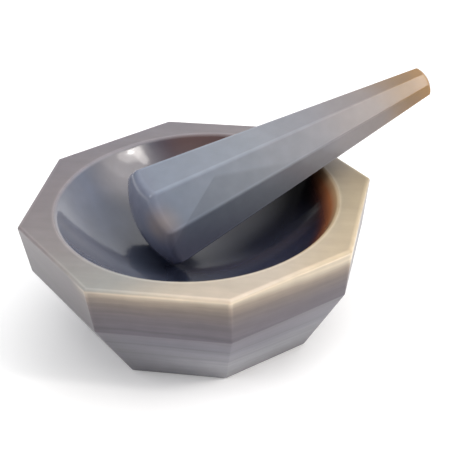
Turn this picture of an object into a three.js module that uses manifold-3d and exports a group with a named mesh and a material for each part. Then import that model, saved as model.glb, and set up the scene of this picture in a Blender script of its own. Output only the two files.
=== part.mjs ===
// A mortar and pestle ground from agate: an eight-sided mortar with a round bowl,
// and a loose eight-sided pestle that lies in the bowl and leans over its rim.
// Millimetres, +Z up, origin at the middle of the mortar's flat base.

import * as THREE from "three";
import { mergeVertices } from "three/addons/utils/BufferGeometryUtils.js";
import Module from "manifold-3d";

const wasm = await Module();
wasm.setup();

// ---- Driving dimensions -------------------------------------------------

const SIDES = 8; // both pieces are eight-sided

// Corner radii run from the middle of the octagon to one of its corners.
const MORTAR_HEIGHT = 37;
const RIM_CORNER_RADIUS = 51;
const CREASE_HEIGHT = 21.9; // the steep upper wall meets the tapered lower wall here
const CREASE_CORNER_RADIUS = 48.5;
const BASE_CORNER_RADIUS = 34.8;
const MORTAR_EDGE = 0.7; // bevel round the top face and the base

const MOUTH_RADIUS = 40;
const BOWL_DEPTH = 20;
const LIP_BEVEL = 0.7;

const PESTLE_LENGTH = 95.8;
const HEAD_CORNER_RADIUS = 16.5; // of the eight-sided taper, carried on to the dome's pole
const TIP_CORNER_RADIUS = 4.7;
const DOME_RADIUS = 25.5; // the round grinding face
const TIP_DOME_HEIGHT = 1.8;

// How the pestle lies: the pole of its dome, and the line from there to the tip.
const POLE = new THREE.Vector3(-15.75, -6.97, 31.3);
const LEAN_HEADING = THREE.MathUtils.degToRad(34.4);
const LEAN_RISE = THREE.MathUtils.degToRad(15.2);
const PESTLE_ROLL = THREE.MathUtils.degToRad(8.4); // 0 puts one flat uppermost

// Fineness of the round surfaces
const BOWL_SEGMENTS = 72;
const BOWL_STEPS = 14;
const DOME_SEGMENTS = 48;
const DOME_STEPS = 8;
const TIP_STEPS = 4;

// ---- Helpers ------------------------------------------------------------

// A profile of [radius, height] points, lowest first, turned round +Z.
// With SIDES segments it makes an octagon whose flats face +X, +Y and between.
function turn(profile, segments) {
  const points = profile.map(([radius, height]) => new THREE.Vector2(radius, height));
  const firstCorner = Math.PI / segments;
  const geometry = new THREE.LatheGeometry(points, segments, firstCorner);
  return geometry.rotateX(Math.PI / 2);
}

// Points along an arc of a circle centred on the axis, from one angle to another.
// The angle is measured at the centre, up from straight down.
function arc(centreHeight, radius, from, to, steps) {
  return Array.from({ length: steps + 1 }, (_, i) => {
    const angle = from + ((to - from) * i) / steps;
    return [radius * Math.sin(angle), centreHeight - radius * Math.cos(angle)];
  });
}

function toSolid(geometry) {
  geometry.deleteAttribute("normal");
  geometry.deleteAttribute("uv");
  const merged = mergeVertices(geometry);
  return new wasm.Manifold(
    new wasm.Mesh({
      numProp: 3,
      vertProperties: merged.attributes.position.array,
      triVerts: new Uint32Array(merged.index.array),
    }),
  );
}

function toMesh(solid, name, material) {
  const { vertProperties, triVerts } = solid.getMesh();
  const geometry = new THREE.BufferGeometry();
  geometry.setAttribute("position", new THREE.BufferAttribute(vertProperties, 3));
  geometry.setIndex(new THREE.BufferAttribute(triVerts, 1));
  geometry.computeVertexNormals();
  const mesh = new THREE.Mesh(geometry, material);
  mesh.name = name;
  return mesh;
}

// ---- Mortar -------------------------------------------------------------

function makeMortar() {
  const wallSlope =
    (CREASE_CORNER_RADIUS - BASE_CORNER_RADIUS) / CREASE_HEIGHT;
  const block = turn(
    [
      [0, 0],
      [BASE_CORNER_RADIUS - MORTAR_EDGE, 0],
      [BASE_CORNER_RADIUS + MORTAR_EDGE * wallSlope, MORTAR_EDGE],
      [CREASE_CORNER_RADIUS, CREASE_HEIGHT],
      [RIM_CORNER_RADIUS, MORTAR_HEIGHT - MORTAR_EDGE],
      [RIM_CORNER_RADIUS - MORTAR_EDGE, MORTAR_HEIGHT],
      [0, MORTAR_HEIGHT],
    ],
    SIDES,
  );

  // The bowl is part of a sphere, with a bevelled lip that flares above the top face.
  const sphereRadius = (MOUTH_RADIUS ** 2 + BOWL_DEPTH ** 2) / (2 * BOWL_DEPTH);
  const sphereCentre = MORTAR_HEIGHT - BOWL_DEPTH + sphereRadius;
  const lipAngle = Math.acos((sphereRadius - BOWL_DEPTH + LIP_BEVEL) / sphereRadius);
  const flareRadius = MOUTH_RADIUS + 2 * LIP_BEVEL;
  const bowl = turn(
    [
      ...arc(sphereCentre, sphereRadius, 0, lipAngle, BOWL_STEPS),
      [flareRadius, MORTAR_HEIGHT + LIP_BEVEL],
      [0, MORTAR_HEIGHT + LIP_BEVEL],
    ],
    BOWL_SEGMENTS,
  );

  const agate = new THREE.MeshStandardMaterial({
    color: 0xa59c94,
    roughness: 0.22,
    metalness: 0,
  });
  return toMesh(toSolid(block).subtract(toSolid(bowl)), "mortar", agate);
}

// ---- Pestle -------------------------------------------------------------

// Made standing on its dome's pole, with its axis on +Z.
function makePestle() {
  const taperLength = PESTLE_LENGTH - TIP_DOME_HEIGHT;
  const shaft = turn(
    [
      [0, 0],
      [HEAD_CORNER_RADIUS, 0],
      [TIP_CORNER_RADIUS, taperLength],
      // Carried on past the tip dome, which trims it
      [TIP_CORNER_RADIUS, PESTLE_LENGTH + TIP_DOME_HEIGHT],
      [0, PESTLE_LENGTH + TIP_DOME_HEIGHT],
    ],
    SIDES,
  );

  // A round envelope: the grinding dome, a sleeve wider than the shaft, and the tip dome.
  const sleeveRadius = HEAD_CORNER_RADIUS + 1;
  const domeAngle = Math.asin(sleeveRadius / DOME_RADIUS);
  const tipRadius =
    (TIP_CORNER_RADIUS ** 2 + TIP_DOME_HEIGHT ** 2) / (2 * TIP_DOME_HEIGHT);
  const tipCentre = PESTLE_LENGTH - tipRadius;
  const tipAngle = Math.PI - Math.asin(TIP_CORNER_RADIUS / tipRadius);
  const envelope = turn(
    [
      ...arc(DOME_RADIUS, DOME_RADIUS, 0, domeAngle, DOME_STEPS),
      [sleeveRadius, taperLength],
      ...arc(tipCentre, tipRadius, tipAngle, Math.PI, TIP_STEPS),
    ],
    DOME_SEGMENTS,
  );

  const agate = new THREE.MeshStandardMaterial({
    color: 0x8f8a8e,
    roughness: 0.25,
    metalness: 0,
  });
  return toMesh(toSolid(shaft).intersect(toSolid(envelope)), "pestle", agate);
}

// ---- Assembly -----------------------------------------------------------

const mortarAndPestle = new THREE.Group();
mortarAndPestle.add(makeMortar());

const lean = new THREE.Group();
lean.position.copy(POLE);
lean.rotation.set(0, Math.PI / 2 - LEAN_RISE, LEAN_HEADING, "ZYX");
const pestle = makePestle();
pestle.rotation.z = PESTLE_ROLL;
lean.add(pestle);
mortarAndPestle.add(lean);

export default mortarAndPestle;
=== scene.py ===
"""A banded agate mortar and its faceted agate pestle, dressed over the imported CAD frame."""

import math

import bmesh
import bpy
from mathutils import Matrix, Vector


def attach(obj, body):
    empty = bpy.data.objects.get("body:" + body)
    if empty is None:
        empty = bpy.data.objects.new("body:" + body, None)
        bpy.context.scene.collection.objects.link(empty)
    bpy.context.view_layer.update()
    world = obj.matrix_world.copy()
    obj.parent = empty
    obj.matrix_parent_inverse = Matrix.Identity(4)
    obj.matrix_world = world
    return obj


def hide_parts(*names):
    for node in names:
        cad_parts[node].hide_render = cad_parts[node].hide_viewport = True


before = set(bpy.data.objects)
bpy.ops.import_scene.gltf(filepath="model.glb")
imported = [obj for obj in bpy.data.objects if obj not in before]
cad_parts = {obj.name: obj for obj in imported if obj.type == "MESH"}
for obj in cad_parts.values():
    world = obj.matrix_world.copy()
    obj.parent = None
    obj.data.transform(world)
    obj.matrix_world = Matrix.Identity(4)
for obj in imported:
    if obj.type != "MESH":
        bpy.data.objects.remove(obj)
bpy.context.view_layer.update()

MM = 0.001
SIDES = 8
TURN = 2 * math.pi / SIDES
FLAT = math.cos(TURN / 2)  # an octagon's middle-to-flat over its middle-to-corner

# ---- Sizes, in millimetres, as the CAD model has them -----------------------

MORTAR_HEIGHT = 37.0
RIM_FLAT = 51.0 * FLAT  # middle to flat
CREASE_FLAT = 48.5 * FLAT
CREASE_HEIGHT = 21.9
BASE_FLAT = 34.8 * FLAT
MOUTH_RADIUS = 40.0
BOWL_DEPTH = 20.0
BOWL_RADIUS = (MOUTH_RADIUS**2 + BOWL_DEPTH**2) / (2 * BOWL_DEPTH)
BOWL_CENTRE = MORTAR_HEIGHT - BOWL_DEPTH + BOWL_RADIUS

PESTLE_LENGTH = 95.8
TIP_DOME_HEIGHT = 1.8
TAPER_LENGTH = PESTLE_LENGTH - TIP_DOME_HEIGHT
HEAD_FLAT = 16.5 * FLAT
TIP_CORNER = 4.7
TIP_FLAT = TIP_CORNER * FLAT
DOME_RADIUS = 25.5
TIP_RADIUS = (TIP_CORNER**2 + TIP_DOME_HEIGHT**2) / (2 * TIP_DOME_HEIGHT)

POLE = Vector((-15.75, -6.97, 31.3))  # middle of the pestle's grinding face
LEAN_HEADING = math.radians(34.4)
LEAN_RISE = math.radians(15.2)
PESTLE_ROLL = math.radians(8.4)

# ---- Softened edges, in millimetres -----------------------------------------

RIM_ROUND = 0.7
CREASE_ROUND = 1.4
BASE_ROUND = 0.9
UPRIGHT_ROUND = 0.8
LIP_ROUND = 1.6
PESTLE_EDGE_ROUND = 1.2
SHOULDER_ROUND = 2.6
TIP_ROUND = 0.6
SHOULDER_HIGHLIGHT = 0.5  # how strongly the painted highlight shows on the shoulder's edge, beside 1 for the others
HALO = 0.6  # how far an edge's painted highlight reaches

# ---- What the stone holds, in millimetres in the CAD frame ------------------

# The mortar's level layers, as (height, half width, strength).
DARK_LAYERS = [(23.4, 0.9, 0.18), (16.6, 0.7, 0.22), (11.2, 0.7, 0.18), (27.0, 1.6, 0.06)]
PALE_LAYERS = [(19.8, 2.4, 0.1), (13.8, 1.4, 0.1), (8.0, 1.5, 0.08)]

LIP_GLOW_BAND = 8  # how far in from the mouth the painted glow of light through the lip reaches
HIGHLIGHT_GLOW_MIDDLE = (-27.0, 24.0, 33.5)  # painted glow round the highlight at the bowl's back left

# The darker veil in the pestle lies behind two planes, where dot(place, normal) > offset.
FLAW_NORMAL = (0.89, -0.13, -0.43)
FLAW_OFFSET = -14.7
VEIL_NORMAL = (0.34, -0.61, -0.71)
VEIL_OFFSET = -30.6
VEIL_REACH = 26  # how far past the flaw the veil has faded out
STAIN_MIDDLE = (-6.5, -15.5, 37.5)  # a tan stain at the pestle's shoulder

# ---- How polished it is -----------------------------------------------------

# The renderer's denoiser leaves specks where a roughness crosses about 0.274, so each of
# these ranges stays on one side of it.
WALL_ROUGHNESS = 0.285
WALL_ROUGHNESS_SPREAD = 0.04
BOWL_SMOOTHER_BY = 0.2
PESTLE_ROUGHNESS = 0.18
PESTLE_ROUGHNESS_SPREAD = 0.08
FINE_GRAIN = 4  # millimetres
AGATE_IOR = 1.54

# ---- How finely the meshes are divided --------------------------------------

ARC_STEPS = 5
SIDE_STEPS = 14
BOWL_RINGS = 44
DOME_RINGS = 18
SHAFT_RINGS = 20
TIP_RINGS = 7


# ---- Outlines ---------------------------------------------------------------

def rounded_octagon(flat, corner_round):
    """(x, y, edge) points round an octagon; edge is 1 on its rounded corners."""
    inner_corner = (flat - corner_round) / FLAT
    half_side = inner_corner * math.sin(TURN / 2)
    halo = min(HALO, half_side / 3)
    points = []
    for side in range(SIDES):
        corner = (side + 0.5) * TURN
        middle = Vector((math.cos(corner), math.sin(corner))) * inner_corner
        for step in range(ARC_STEPS + 1):
            angle = corner + TURN * (step / ARC_STEPS - 0.5)
            point = middle + Vector((math.cos(angle), math.sin(angle))) * corner_round
            points.append((point.x, point.y, 1.0))
        facing = (side + 1) * TURN
        outward = Vector((math.cos(facing), math.sin(facing)))
        along = Vector((-outward.y, outward.x))
        stretch = half_side - halo
        for step in range(SIDE_STEPS + 1):
            place = stretch * (2 * step / SIDE_STEPS - 1)
            point = outward * flat + along * place
            points.append((point.x, point.y, 0.0))
    return points


def round_corners(points, rounds):
    """A line of (across, height) points whose inner corners become arcs.

    Each result is (across, height, edge), where edge is 1 on an arc, and the straight
    stretch on each side of it gets one more point a halo away.
    """
    result = [(*points[0], 0.0)]
    for before, corner, after, radius in zip(points, points[1:], points[2:], rounds):
        corner = Vector(corner)
        back = Vector(before) - corner
        ahead = Vector(after) - corner
        half = back.angle(ahead) / 2
        reach = radius / math.tan(half)
        centre = corner + (back.normalized() + ahead.normalized()).normalized() * (
            radius / math.sin(half)
        )
        spoke = corner + back.normalized() * reach - centre
        sweep = math.copysign(math.pi - 2 * half, ahead.x * back.y - ahead.y * back.x)
        lead_in = corner + back.normalized() * (reach + HALO)
        lead_out = corner + ahead.normalized() * (reach + HALO)
        result.append((lead_in.x, lead_in.y, 0.0))
        for step in range(ARC_STEPS + 1):
            point = centre + Matrix.Rotation(sweep * step / ARC_STEPS, 2) @ spoke
            result.append((point.x, point.y, 1.0))
        result.append((lead_out.x, lead_out.y, 0.0))
    return result + [(*points[-1], 0.0)]


# ---- Meshes -----------------------------------------------------------------

def skin_rings(name, rings, start_pole, end_pole, place=Matrix.Identity(4)):
    """A closed mesh from rings of (x, y, z, edge, inside) points between two poles.

    Edge and inside are stored on the points, for the materials.
    """
    mesh_builder = bmesh.new()
    edge_layer = mesh_builder.verts.layers.float.new("edge")
    inside_layer = mesh_builder.verts.layers.float.new("inside")

    def add(x, y, z, edge, inside):
        vertex = mesh_builder.verts.new((place @ Vector((x, y, z))) * MM)
        vertex[edge_layer] = edge
        vertex[inside_layer] = inside
        return vertex

    rows = [[add(*point) for point in ring] for ring in rings]
    first = add(*start_pole)
    last = add(*end_pole)
    count = len(rows[0])
    for i in range(count):
        j = (i + 1) % count
        mesh_builder.faces.new((first, rows[0][j], rows[0][i]))
        for low, high in zip(rows, rows[1:]):
            mesh_builder.faces.new((low[i], low[j], high[j], high[i]))
        mesh_builder.faces.new((rows[-1][i], rows[-1][j], last))
    bmesh.ops.recalc_face_normals(mesh_builder, faces=mesh_builder.faces)
    mesh = bpy.data.meshes.new(name)
    mesh_builder.to_mesh(mesh)
    mesh_builder.free()
    mesh.shade_smooth()
    piece = bpy.data.objects.new(name, mesh)
    bpy.context.scene.collection.objects.link(piece)
    weighted = piece.modifiers.new("weighted_normals", "WEIGHTED_NORMAL")
    weighted.weight = 100
    return piece


def make_mortar():
    # The line's ends only aim it: the base's middle and the lip take over from there.
    line = round_corners(
        [
            (0.0, 0.0),
            (BASE_FLAT, 0.0),
            (CREASE_FLAT, CREASE_HEIGHT),
            (RIM_FLAT, MORTAR_HEIGHT),
            (RIM_FLAT - 3 * HALO, MORTAR_HEIGHT),
        ],
        [BASE_ROUND, CREASE_ROUND, RIM_ROUND],
    )
    rings = []
    for flat, height, edge in line[1:-1]:
        on_wall = height < MORTAR_HEIGHT
        rings.append(
            [
                (x, y, height, max(edge, corner * on_wall), 0.0)
                for x, y, corner in rounded_octagon(flat, UPRIGHT_ROUND)
            ]
        )
    directions = [Vector((x, y)).normalized() for x, y, *_ in rings[-1]]

    def circle(radius, height, edge, inside):
        return [(d.x * radius, d.y * radius, height, edge, inside) for d in directions]

    # The lip's arc touches the top face and the bowl's sphere.
    lip_centre = math.sqrt(
        (BOWL_RADIUS + LIP_ROUND) ** 2
        - (BOWL_CENTRE - MORTAR_HEIGHT + LIP_ROUND) ** 2
    )
    lip_angle = math.asin(lip_centre / (BOWL_RADIUS + LIP_ROUND))
    rings.append(circle(lip_centre + HALO, MORTAR_HEIGHT, 0.0, 0.0))
    for step in range(ARC_STEPS + 1):
        angle = lip_angle * step / ARC_STEPS
        radius = lip_centre - LIP_ROUND * math.sin(angle)
        height = MORTAR_HEIGHT - LIP_ROUND * (1 - math.cos(angle))
        rings.append(circle(radius, height, 1.0, step / ARC_STEPS))
    for step in range(1, BOWL_RINGS):
        angle = lip_angle * (1 - step / BOWL_RINGS)
        radius = BOWL_RADIUS * math.sin(angle)
        height = BOWL_CENTRE - BOWL_RADIUS * math.cos(angle)
        rings.append(circle(radius, height, 0.0, 1.0))
    base_middle = (0.0, 0.0, 0.0, 0.0, 0.0)
    bowl_floor = (0.0, 0.0, MORTAR_HEIGHT - BOWL_DEPTH, 0.0, 1.0)
    return skin_rings("agate_mortar", rings, base_middle, bowl_floor)


def meet(sphere_middle, sphere_radius, across, slope, rounding, towards_tip):
    """The arc that rounds off the edge between an end dome and a facet line.

    The facet line is across + slope * along, and the result is the arc's centre
    and its angles where it touches the dome and the line.
    """
    stretch = math.hypot(1, slope)
    offset = across - rounding * stretch
    a = 1 + slope * slope
    b = slope * offset - sphere_middle
    c = offset * offset + sphere_middle**2 - (sphere_radius - rounding) ** 2
    root = math.sqrt(b * b - a * c)
    along = (-b + root) / a if towards_tip else (-b - root) / a
    centre = Vector((along, offset + slope * along))
    dome_angle = math.atan2(centre.y, centre.x - sphere_middle)
    line_angle = math.atan2(1, -slope)
    return centre, dome_angle, line_angle


def pestle_column(across, slope, corner):
    """(along, radius, edge) points from dome to tip, down one line of the pestle."""
    points = []
    centre, dome_angle, line_angle = meet(
        DOME_RADIUS, DOME_RADIUS, across, slope, SHOULDER_ROUND, False
    )
    for step in range(1, DOME_RINGS):
        angle = math.pi - (math.pi - dome_angle) * step / DOME_RINGS
        points.append(
            (
                DOME_RADIUS + DOME_RADIUS * math.cos(angle),
                DOME_RADIUS * math.sin(angle),
                0.0,
            )
        )
    for step in range(ARC_STEPS + 1):
        angle = dome_angle + (line_angle - dome_angle) * step / ARC_STEPS
        points.append(
            (
                centre.x + SHOULDER_ROUND * math.cos(angle),
                centre.y + SHOULDER_ROUND * math.sin(angle),
                SHOULDER_HIGHLIGHT,
            )
        )
    head_end = points[-1][0] + HALO
    tip_middle = PESTLE_LENGTH - TIP_RADIUS
    centre, dome_angle, line_angle = meet(
        tip_middle, TIP_RADIUS, across, slope, TIP_ROUND, True
    )
    tip_start = centre.x + TIP_ROUND * math.cos(line_angle)
    for step in range(SHAFT_RINGS):
        along = head_end + (tip_start - head_end) * step / SHAFT_RINGS
        points.append((along, across + slope * along, corner))
    for step in range(ARC_STEPS + 1):
        angle = line_angle + (dome_angle - line_angle) * step / ARC_STEPS
        points.append(
            (
                centre.x + TIP_ROUND * math.cos(angle),
                centre.y + TIP_ROUND * math.sin(angle),
                1.0,
            )
        )
    for step in range(1, TIP_RINGS):
        angle = dome_angle * (1 - step / TIP_RINGS)
        points.append(
            (
                tip_middle + TIP_RADIUS * math.cos(angle),
                TIP_RADIUS * math.sin(angle),
                0.0,
            )
        )
    return points


def make_pestle():
    outline = rounded_octagon(HEAD_FLAT, PESTLE_EDGE_ROUND)
    narrowing = (TIP_FLAT / HEAD_FLAT - 1) / TAPER_LENGTH
    columns = []
    for x, y, corner in outline:
        across = math.hypot(x, y)
        line = pestle_column(across, across * narrowing, corner)
        columns.append(
            [
                (radius * x / across, radius * y / across, along, edge, 0.0)
                for along, radius, edge in line
            ]
        )
    rings = [list(ring) for ring in zip(*columns)]
    place = (
        Matrix.Translation(POLE)
        @ Matrix.Rotation(LEAN_HEADING, 4, "Z")
        @ Matrix.Rotation(math.pi / 2 - LEAN_RISE, 4, "Y")
        @ Matrix.Rotation(PESTLE_ROLL, 4, "Z")
    )
    dome_pole = (0.0, 0.0, 0.0, 0.0, 0.0)
    tip_pole = (0.0, 0.0, PESTLE_LENGTH, 0.0, 0.0)
    return skin_rings("agate_pestle", rings, dome_pole, tip_pole, place)


# ---- Materials --------------------------------------------------------------

class Shading:
    """A material's node tree, built by calls that return sockets."""

    def __init__(self, name):
        self.material = bpy.data.materials.new(name)
        self.material.use_nodes = True
        self.tree = self.material.node_tree
        self.shader = self.tree.nodes["Principled BSDF"]

    def node(self, kind, values=(), **settings):
        """A node with its first inputs filled by numbers or linked to sockets."""
        made = self.tree.nodes.new(kind)
        for key, value in settings.items():
            setattr(made, key, value)
        for socket, value in zip(made.inputs, values):
            self.feed(socket, value)
        return made

    def feed(self, socket, value):
        if isinstance(value, bpy.types.NodeSocket):
            self.tree.links.new(value, socket)
        elif value is not None:
            socket.default_value = value

    def math(self, operation, *values):
        return self.node("ShaderNodeMath", values, operation=operation).outputs[0]

    def smooth(self, value, low, high):
        """A smooth step from 0 at low to 1 at high. It falls when low is above high."""
        made = self.node(
            "ShaderNodeMapRange", (value, low, high), interpolation_type="SMOOTHSTEP"
        )
        return made.outputs[0]

    def position(self):
        """The place in the CAD frame, in millimetres."""
        place = self.node("ShaderNodeTexCoord").outputs["Object"]
        return self.scale(place, 1 / MM)

    def scale(self, vector, factor):
        made = self.node("ShaderNodeVectorMath", (vector,), operation="SCALE")
        made.inputs["Scale"].default_value = factor
        return made.outputs[0]

    def dot(self, vector, direction):
        made = self.node(
            "ShaderNodeVectorMath", (vector, tuple(direction)), operation="DOT_PRODUCT"
        )
        return made.outputs["Value"]

    def distance(self, vector, point):
        made = self.node("ShaderNodeVectorMath", (vector, point), operation="DISTANCE")
        return made.outputs["Value"]

    def centred(self, share):
        """A value from 0 to 1 moved down to lie round 0."""
        return self.math("SUBTRACT", share, 0.5)

    def parts(self, vector):
        return self.node("ShaderNodeSeparateXYZ", (vector,)).outputs

    def join(self, x, y, z):
        return self.node("ShaderNodeCombineXYZ", (x, y, z)).outputs[0]

    def noise(self, vector, size, detail=3.0, roughness=0.5):
        """Cloudy noise from 0 to 1 whose blobs are about size millimetres across."""
        made = self.node("ShaderNodeTexNoise")
        self.feed(made.inputs["Vector"], vector)
        made.inputs["Scale"].default_value = 1 / size
        made.inputs["Detail"].default_value = detail
        made.inputs["Roughness"].default_value = roughness
        return made.outputs[0]

    def ramp(self, value, stops):
        """A colour ramp; each stop is (place, colour as sRGB 0 to 255)."""
        made = self.node("ShaderNodeValToRGB", (value,))
        elements = made.color_ramp.elements
        while len(elements) < len(stops):
            elements.new(0.5)
        for element, (place, color) in zip(elements, stops):
            element.position = place
            element.color = (*linear(color), 1)
        return made.outputs[0]

    def mix(self, share, low, high):
        """The colour low where share is 0, and high where it is 1."""
        made = self.node("ShaderNodeMix", data_type="RGBA")
        factor, first, second = made.inputs[0], made.inputs[6], made.inputs[7]
        self.feed(factor, share)
        self.feed(first, color_value(low))
        self.feed(second, color_value(high))
        return made.outputs[2]

    def shade(self, color, amount):
        """Brightens a colour by a share of itself, or darkens it when amount is negative."""
        made = self.node("ShaderNodeVectorMath", (color,), operation="SCALE")
        self.feed(made.inputs["Scale"], self.math("ADD", amount, 1.0))
        return made.outputs[0]

    def band(self, value, middle, half_width):
        """1 at the middle of a soft band, and 0 outside it."""
        distance = self.math("ABSOLUTE", self.math("SUBTRACT", value, middle))
        return self.math("SUBTRACT", 1.0, self.smooth(distance, 0.0, half_width))

    def attribute(self, name):
        made = self.node("ShaderNodeAttribute")
        made.attribute_name = name
        return made.outputs["Fac"]

    def bump(self, height, depth):
        """Relief that is depth millimetres deep."""
        made = self.node("ShaderNodeBump")
        made.inputs["Strength"].default_value = 1.0
        made.inputs["Distance"].default_value = depth * MM
        self.feed(made.inputs["Height"], height)
        return made.outputs[0]


def linear(color):
    """An sRGB colour with channels from 0 to 255 as linear light."""
    return [
        (c / 255 / 12.92) if c <= 10 else ((c / 255 + 0.055) / 1.055) ** 2.4
        for c in color
    ]


def color_value(value):
    """What a colour input takes: a socket as it is, or an sRGB colour as linear light."""
    if isinstance(value, bpy.types.NodeSocket):
        return value
    return (*linear(value), 1)


def plain(name, color, roughness, glow):
    """One colour all over, which also shines a little by itself."""
    shading = Shading(name)
    shading.shader.inputs["Emission Color"].default_value = color_value(color)
    shading.shader.inputs["Emission Strength"].default_value = glow
    shading.shader.inputs["Base Color"].default_value = color_value(color)
    shading.shader.inputs["Roughness"].default_value = roughness
    return shading.material


def polish(shading, color, roughness, normal):
    """The finish that every agate surface shares."""
    inputs = shading.shader.inputs
    shading.feed(inputs["Base Color"], color)
    shading.feed(inputs["Roughness"], roughness)
    shading.feed(inputs["Normal"], normal)
    inputs["IOR"].default_value = AGATE_IOR
    inputs["Subsurface Weight"].default_value = 0.12
    inputs["Subsurface Radius"].default_value = (1.0, 0.7, 0.5)
    inputs["Subsurface Scale"].default_value = 3 * MM


def mortar_agate():
    """Level bands outside, cream above and grey below, round a dark polished bowl."""
    s = Shading("mortar_agate")
    place = s.position()
    inside = s.attribute("inside")
    outside = mortar_outside(s, place)
    color = s.mix(inside, outside, bowl_stone(s, place))
    fine = s.noise(place, FINE_GRAIN, detail=2)
    color = s.shade(color, s.math("MULTIPLY", s.centred(fine), 0.2))

    # The walls are polished less finely than the bowl.
    roughness = s.math("MULTIPLY", fine, WALL_ROUGHNESS_SPREAD)
    roughness = s.math("ADD", roughness, WALL_ROUGHNESS)
    smoother = s.math("MULTIPLY", inside, BOWL_SMOOTHER_BY)
    roughness = s.math("SUBTRACT", roughness, smoother)
    polish(s, color, roughness, s.bump(s.noise(place, 9, detail=2), 0.05))
    return s.material


def mortar_outside(s, place):
    """The walls and the top face."""
    x, y, z = s.parts(place)
    drift = s.centred(s.noise(place, 24, detail=4))

    # Both run from back left to front right: the top's colour, and the walls' share of cream.
    front_right = s.math("DIVIDE", s.dot(place, (0.68, -0.73, 0)), RIM_FLAT)
    front_right = s.math("ADD", front_right, s.math("MULTIPLY", drift, 0.35))
    creamy = s.smooth(s.dot(place, (0.5, -0.87, 0)), 0.45 * RIM_FLAT, 0.8 * RIM_FLAT)

    # Its layers lie level, dip a little to the right and wave slowly.
    dip = s.math("MULTIPLY", s.smooth(x, 5, 45), 2.2)
    wave = s.math("MULTIPLY", drift, 2.4)
    level = s.math("ADD", s.math("ADD", z, dip), wave)
    share = s.math("DIVIDE", level, MORTAR_HEIGHT)
    cream_side = s.ramp(
        share,
        [
            (0.00, (134, 133, 138)),
            (0.26, (128, 127, 134)),
            (0.46, (95, 93, 104)),
            (0.62, (88, 82, 92)),
            (0.76, (90, 82, 87)),
            (0.86, (104, 92, 87)),
            (0.93, (136, 122, 108)),
            (1.00, (196, 182, 160)),
        ],
    )
    mauve_side = s.ramp(
        share,
        [
            (0.0, (94, 92, 100)),
            (0.5, (61, 57, 63)),
            (0.7, (74, 67, 71)),
            (1.0, (94, 86, 89)),
        ],
    )
    wall = s.mix(creamy, mauve_side, cream_side)
    for height, half_width, strength in DARK_LAYERS:
        layer = s.band(level, height, half_width)
        wall = s.shade(wall, s.math("MULTIPLY", layer, -strength))
    for height, half_width, strength in PALE_LAYERS:
        layer = s.band(level, height, half_width)
        wall = s.shade(wall, s.math("MULTIPLY", layer, strength))
    stretched = s.join(s.math("MULTIPLY", x, 0.05), s.math("MULTIPLY", y, 0.05), level)
    streaks = s.centred(s.noise(stretched, 1.0, detail=2, roughness=0.6))
    wall = s.shade(wall, s.math("MULTIPLY", streaks, 0.45))

    top = s.ramp(
        s.math("MULTIPLY", s.math("ADD", front_right, 1), 0.5),
        [
            (0.0, (108, 103, 109)),
            (0.2, (112, 105, 108)),
            (0.5, (122, 116, 116)),
            (0.74, (133, 132, 128)),
            (0.9, (168, 157, 142)),
            (1.0, (182, 167, 150)),
        ],
    )
    tan = s.math("MULTIPLY", s.smooth(x, 26, 45), 0.7)
    top = s.mix(tan, top, (164, 146, 114))
    combed = s.noise(s.join(s.math("MULTIPLY", x, 0.08), y, 0.0), 2.5, detail=3)
    top = s.shade(top, s.math("MULTIPLY", s.centred(combed), 0.22))
    on_top = s.smooth(z, MORTAR_HEIGHT - 1.0, MORTAR_HEIGHT - 0.2)
    color = s.mix(on_top, wall, top)

    # Painted highlight along the edges, stronger the higher they are above the crease.
    painted_edge_highlight = s.math("MULTIPLY", s.attribute("edge"), s.smooth(z, 22.5, 36))
    return s.shade(color, s.math("MULTIPLY", painted_edge_highlight, 0.28))


def bowl_stone(s, place):
    """Blue-grey on the left and nearly black on the right, partly the stone and partly painted
    shade and reflection of the pestle, with painted glow through the lip.
    """
    x, y, _ = s.parts(place)
    radius = s.math("SQRT", s.math("ADD", s.math("MULTIPLY", x, x), s.math("MULTIPLY", y, y)))
    drift = s.centred(s.noise(place, 20, detail=4))
    right = s.math("DIVIDE", s.dot(place, (0.8, 0.6, 0)), MOUTH_RADIUS)
    right = s.math("ADD", right, s.math("MULTIPLY", drift, 0.25))
    # The stone's own colour, with painted shade and painted dark reflection of the pestle over
    # the bowl's middle and right side.
    color = s.ramp(
        s.math("MULTIPLY", s.math("ADD", right, 1), 0.5),
        [
            (0.05, (98, 100, 112)),
            (0.22, (88, 94, 112)),
            (0.36, (41, 45, 61)),
            (0.48, (45, 50, 71)),
            (0.60, (44, 48, 70)),
            (0.78, (36, 38, 56)),
            (0.90, (15, 15, 21)),
        ],
    )
    # Painted glow round the highlight at the bowl's back left.
    pale = s.math("MULTIPLY", s.smooth(s.distance(place, HIGHLIGHT_GLOW_MIDDLE), 17, 3), 0.85)
    color = s.mix(pale, color, (134, 130, 134))

    # Painted light: the right lip glows amber as if lit through the thin stone.
    lip_start = MOUTH_RADIUS - LIP_GLOW_BAND
    lip = s.smooth(radius, lip_start, MOUTH_RADIUS - 1)
    painted_lip_glow = s.ramp(
        s.math("DIVIDE", s.math("SUBTRACT", radius, lip_start), LIP_GLOW_BAND),
        [
            (0.00, (44, 28, 30)),
            (0.45, (104, 54, 36)),
            (0.75, (160, 98, 62)),
            (1.00, (186, 158, 122)),
        ],
    )
    on_right = s.smooth(x, 27, 37)
    color = s.mix(s.math("MULTIPLY", lip, on_right), color, painted_lip_glow)
    # Painted glow of light through the thin stone at the back lip, in maroon brown.
    painted_back_glow = s.math("MULTIPLY", s.smooth(y, 24, 38), s.smooth(x, -26, -12))
    return s.mix(s.math("MULTIPLY", painted_back_glow, 0.85), color, (84, 56, 52))


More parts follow.
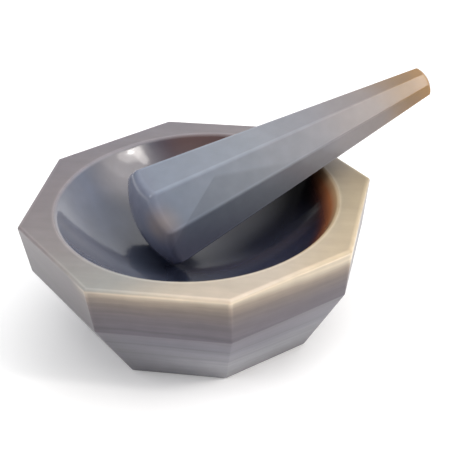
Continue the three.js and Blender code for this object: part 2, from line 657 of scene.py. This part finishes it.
def pestle_agate():
    """Blue-grey at the grinding end, mauve-grey along the shaft, tan at the tip."""
    s = Shading("pestle_agate")
    place = s.position()
    axis = Vector(
        (
            math.cos(LEAN_RISE) * math.cos(LEAN_HEADING),
            math.cos(LEAN_RISE) * math.sin(LEAN_HEADING),
            math.sin(LEAN_RISE),
        )
    )
    drift = s.centred(s.noise(place, 18, detail=4))
    fine = s.noise(place, FINE_GRAIN, detail=2)
    along = s.math("SUBTRACT", s.dot(place, axis), POLE.dot(axis))
    along = s.math("ADD", along, s.math("MULTIPLY", drift, 14))
    color = s.ramp(
        s.math("DIVIDE", along, PESTLE_LENGTH),
        [
            (0.00, (104, 106, 124)),
            (0.10, (114, 122, 136)),
            (0.40, (122, 127, 136)),
            (0.60, (124, 123, 129)),
            (0.78, (125, 115, 112)),
            (0.90, (124, 97, 66)),
            (1.00, (127, 93, 46)),
        ],
    )

    # A flat flaw crosses the shaft, with darker stone behind it that fades towards the tip.
    beyond = s.math("SUBTRACT", s.dot(place, FLAW_NORMAL), FLAW_OFFSET)
    beneath = s.math("SUBTRACT", s.dot(place, VEIL_NORMAL), VEIL_OFFSET)
    veil = s.math("MULTIPLY", s.smooth(beyond, 0.0, 0.5), s.smooth(beneath, 0.0, 1.5))
    veil = s.math("MULTIPLY", veil, s.smooth(beyond, VEIL_REACH, 2))
    color = s.shade(color, s.math("MULTIPLY", veil, -0.2))

    # Tan stone shows at the shoulder, on the side that faces the viewer.
    stain = s.smooth(s.distance(place, STAIN_MIDDLE), 8, 1)
    color = s.mix(s.math("MULTIPLY", stain, 0.5), color, (150, 132, 118))

    # The side away from the light is darker and bluer.
    under = axis.cross(Vector((0, 0, 1))).normalized() * 0.8 - Vector((0, 0, 0.6))
    lower = s.math("SUBTRACT", s.dot(place, under), POLE.dot(under))
    shaded = s.math("MULTIPLY", s.smooth(lower, 5, 14), 0.75)
    color = s.mix(shaded, color, (84, 84, 104))
    color = s.shade(color, s.math("MULTIPLY", drift, 0.3))
    color = s.shade(color, s.math("MULTIPLY", s.centred(fine), 0.2))
    # Painted highlight along the rounded edges.
    color = s.shade(color, s.math("MULTIPLY", s.attribute("edge"), 0.2))
    roughness = s.math("MULTIPLY", fine, PESTLE_ROUGHNESS_SPREAD)
    roughness = s.math("ADD", roughness, PESTLE_ROUGHNESS)
    polish(s, color, roughness, s.bump(s.noise(place, 7, detail=2), 0.04))
    return s.material


# ---- Stage ------------------------------------------------------------------

ROOM_LIGHT = 0.08  # what the dark part of the room still gives
CAMERA_AIM = Vector((7.64, 1.15, 29.1))  # millimetres
CAMERA_AZIMUTH = math.radians(13.43)
CAMERA_ELEVATION = math.radians(31.88)
CAMERA_ROLL = math.radians(-3.235)
CAMERA_DISTANCE = 418.0  # millimetres


def make_floor():
    mesh = bpy.data.meshes.new("studio_floor")
    reach = 3.0  # metres
    corners = [(-reach, -reach), (reach, -reach), (reach, reach), (-reach, reach)]
    mesh.from_pydata([(x, y, 0) for x, y in corners], [], [(0, 1, 2, 3)])
    floor = bpy.data.objects.new("studio_floor", mesh)
    bpy.context.scene.collection.objects.link(floor)
    mesh.materials.append(plain("pale_floor", (250, 250, 250), 0.9, glow=0.12))
    return floor


def make_light(name, azimuth, elevation, distance, width, height, power, color):
    """An oval soft box that faces the middle of the mouth, sized in metres.

    It is distance metres away, and its azimuth is 0 at -Y and 90 at +X.
    """
    light = bpy.data.lights.new(name, "AREA")
    light.shape = "ELLIPSE"
    light.size = width
    light.size_y = height
    light.energy = power
    light.color = color
    lamp = bpy.data.objects.new(name, light)
    turn = (
        Matrix.Rotation(math.radians(azimuth), 4, "Z")
        @ Matrix.Rotation(math.pi / 2 - math.radians(elevation), 4, "X")
    )
    middle = Matrix.Translation((0, 0, MORTAR_HEIGHT * MM))
    lamp.matrix_world = middle @ turn @ Matrix.Translation((0, 0, distance))
    bpy.context.scene.collection.objects.link(lamp)


def make_world():
    """A dark room with soft light from overhead, from a pale sweep behind and from low down."""
    world = bpy.data.worlds.new("studio")
    world.use_nodes = True
    tree = world.node_tree
    links = tree.links
    direction = tree.nodes.new("ShaderNodeTexCoord").outputs["Generated"]

    def glow(towards, low, high, strength):
        """Light that grows from nothing to strength as a direction nears towards."""
        nearness = tree.nodes.new("ShaderNodeVectorMath")
        nearness.operation = "DOT_PRODUCT"
        links.new(direction, nearness.inputs[0])
        nearness.inputs[1].default_value = towards
        rise = tree.nodes.new("ShaderNodeMapRange")
        rise.interpolation_type = "SMOOTHSTEP"
        links.new(nearness.outputs["Value"], rise.inputs["Value"])
        rise.inputs["From Min"].default_value = low
        rise.inputs["From Max"].default_value = high
        rise.inputs["To Max"].default_value = strength
        return rise.outputs[0]

    def add(light, more):
        adder = tree.nodes.new("ShaderNodeMath")
        adder.operation = "ADD"
        links.new(light, adder.inputs[0])
        if isinstance(more, bpy.types.NodeSocket):
            links.new(more, adder.inputs[1])
        else:
            adder.inputs[1].default_value = more
        return adder.outputs[0]

    overhead = glow((0, 0, 1), 0.5, 0.95, 1.25)
    sweep = glow((0.58, 0.73, 0.36), 0.35, 0.85, 1.3)
    low_down = glow((0, 0, -1), -0.26, -0.1, 0.5)
    total = add(low_down, add(sweep, add(overhead, ROOM_LIGHT)))
    background = tree.nodes["Background"]
    links.new(total, background.inputs["Strength"])
    background.inputs["Color"].default_value = (1, 1, 1, 1)
    bpy.context.scene.world = world


def make_lights():
    # A small lamp makes the highlight at the bowl's back left. Two wider ones soften it.
    make_light("key", 75.5, 40.2, 1.1, 0.11, 0.13, 1.1, (1.0, 0.98, 0.95))
    make_light("key_halo", 75, 40, 1.15, 0.45, 0.34, 1.6, (1.0, 0.95, 0.9))
    make_light("key_glow", 80, 38, 1.2, 0.8, 0.8, 1.6, (1.0, 0.95, 0.9))

    # A tall one above them draws the highlight's tail, down towards the pestle.
    make_light("key_tail", 71, 47, 1.1, 0.12, 0.3, 0.65, (1.0, 0.95, 0.9))

    # The fill lights the front walls from a side that the bowl doesn't mirror.
    make_light("fill", -55, 38, 1.2, 1.0, 0.8, 4.6, (0.98, 0.98, 1.0))


def make_camera():
    data = bpy.data.cameras.new("camera")
    data.sensor_width = 36
    data.lens = 116.9
    data.clip_start = 0.01
    camera = bpy.data.objects.new("camera", data)
    camera.matrix_world = (
        Matrix.Translation(CAMERA_AIM * MM)
        @ Matrix.Rotation(CAMERA_AZIMUTH, 4, "Z")
        @ Matrix.Rotation(math.pi / 2 - CAMERA_ELEVATION, 4, "X")
        @ Matrix.Rotation(CAMERA_ROLL, 4, "Z")
        @ Matrix.Translation((0, 0, CAMERA_DISTANCE * MM))
    )
    bpy.context.scene.collection.objects.link(camera)
    bpy.context.scene.camera = camera


# ---- The whole scene --------------------------------------------------------

make_camera()
mortar = make_mortar()
pestle = make_pestle()
mortar.data.materials.append(mortar_agate())
pestle.data.materials.append(pestle_agate())
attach(mortar, "mortar")
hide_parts("mortar")
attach(pestle, "pestle")
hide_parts("pestle")
make_floor()
make_world()
make_lights()
bpy.context.scene.view_settings.view_transform = "Standard"
